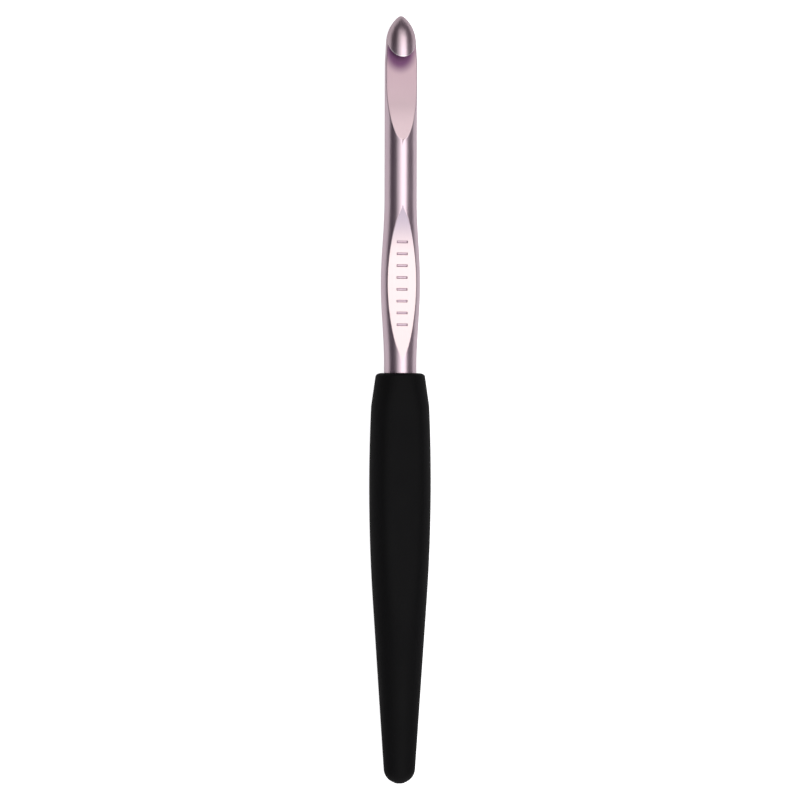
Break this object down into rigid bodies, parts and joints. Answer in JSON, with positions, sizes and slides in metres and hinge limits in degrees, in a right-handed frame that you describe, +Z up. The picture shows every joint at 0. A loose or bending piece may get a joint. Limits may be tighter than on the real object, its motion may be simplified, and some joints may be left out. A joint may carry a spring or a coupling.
{
  "type": "crochet hook",
  "caption": "Crochet hook: a pink-lilac anodised metal shaft with a pointed head, undercut notch and pressed thumb rest, in a black soft-grip handle that tapers to a rounded end.",
  "frame": {"origin": "on the table, under the middle of the hook's length, with the hook lying throat up", "axes": "+X along the shaft towards the tip, +Z up out of the throat and the thumb rest, +Y to the left when looking from the handle to the tip"},
  "size_m": [0.189, 0.0152, 0.0114],
  "materials": {
    "anodised_metal": "satin pink-lilac anodised",
    "core_plastic": "moulded black hard plastic",
    "grip_rubber": "matte black soft-touch elastomer"
  },
  "bodies": {
    "root": {"hook": "anodised_metal", "handle_core": "core_plastic", "grip_skin": "grip_rubber"}
  },
  "joints": []
}
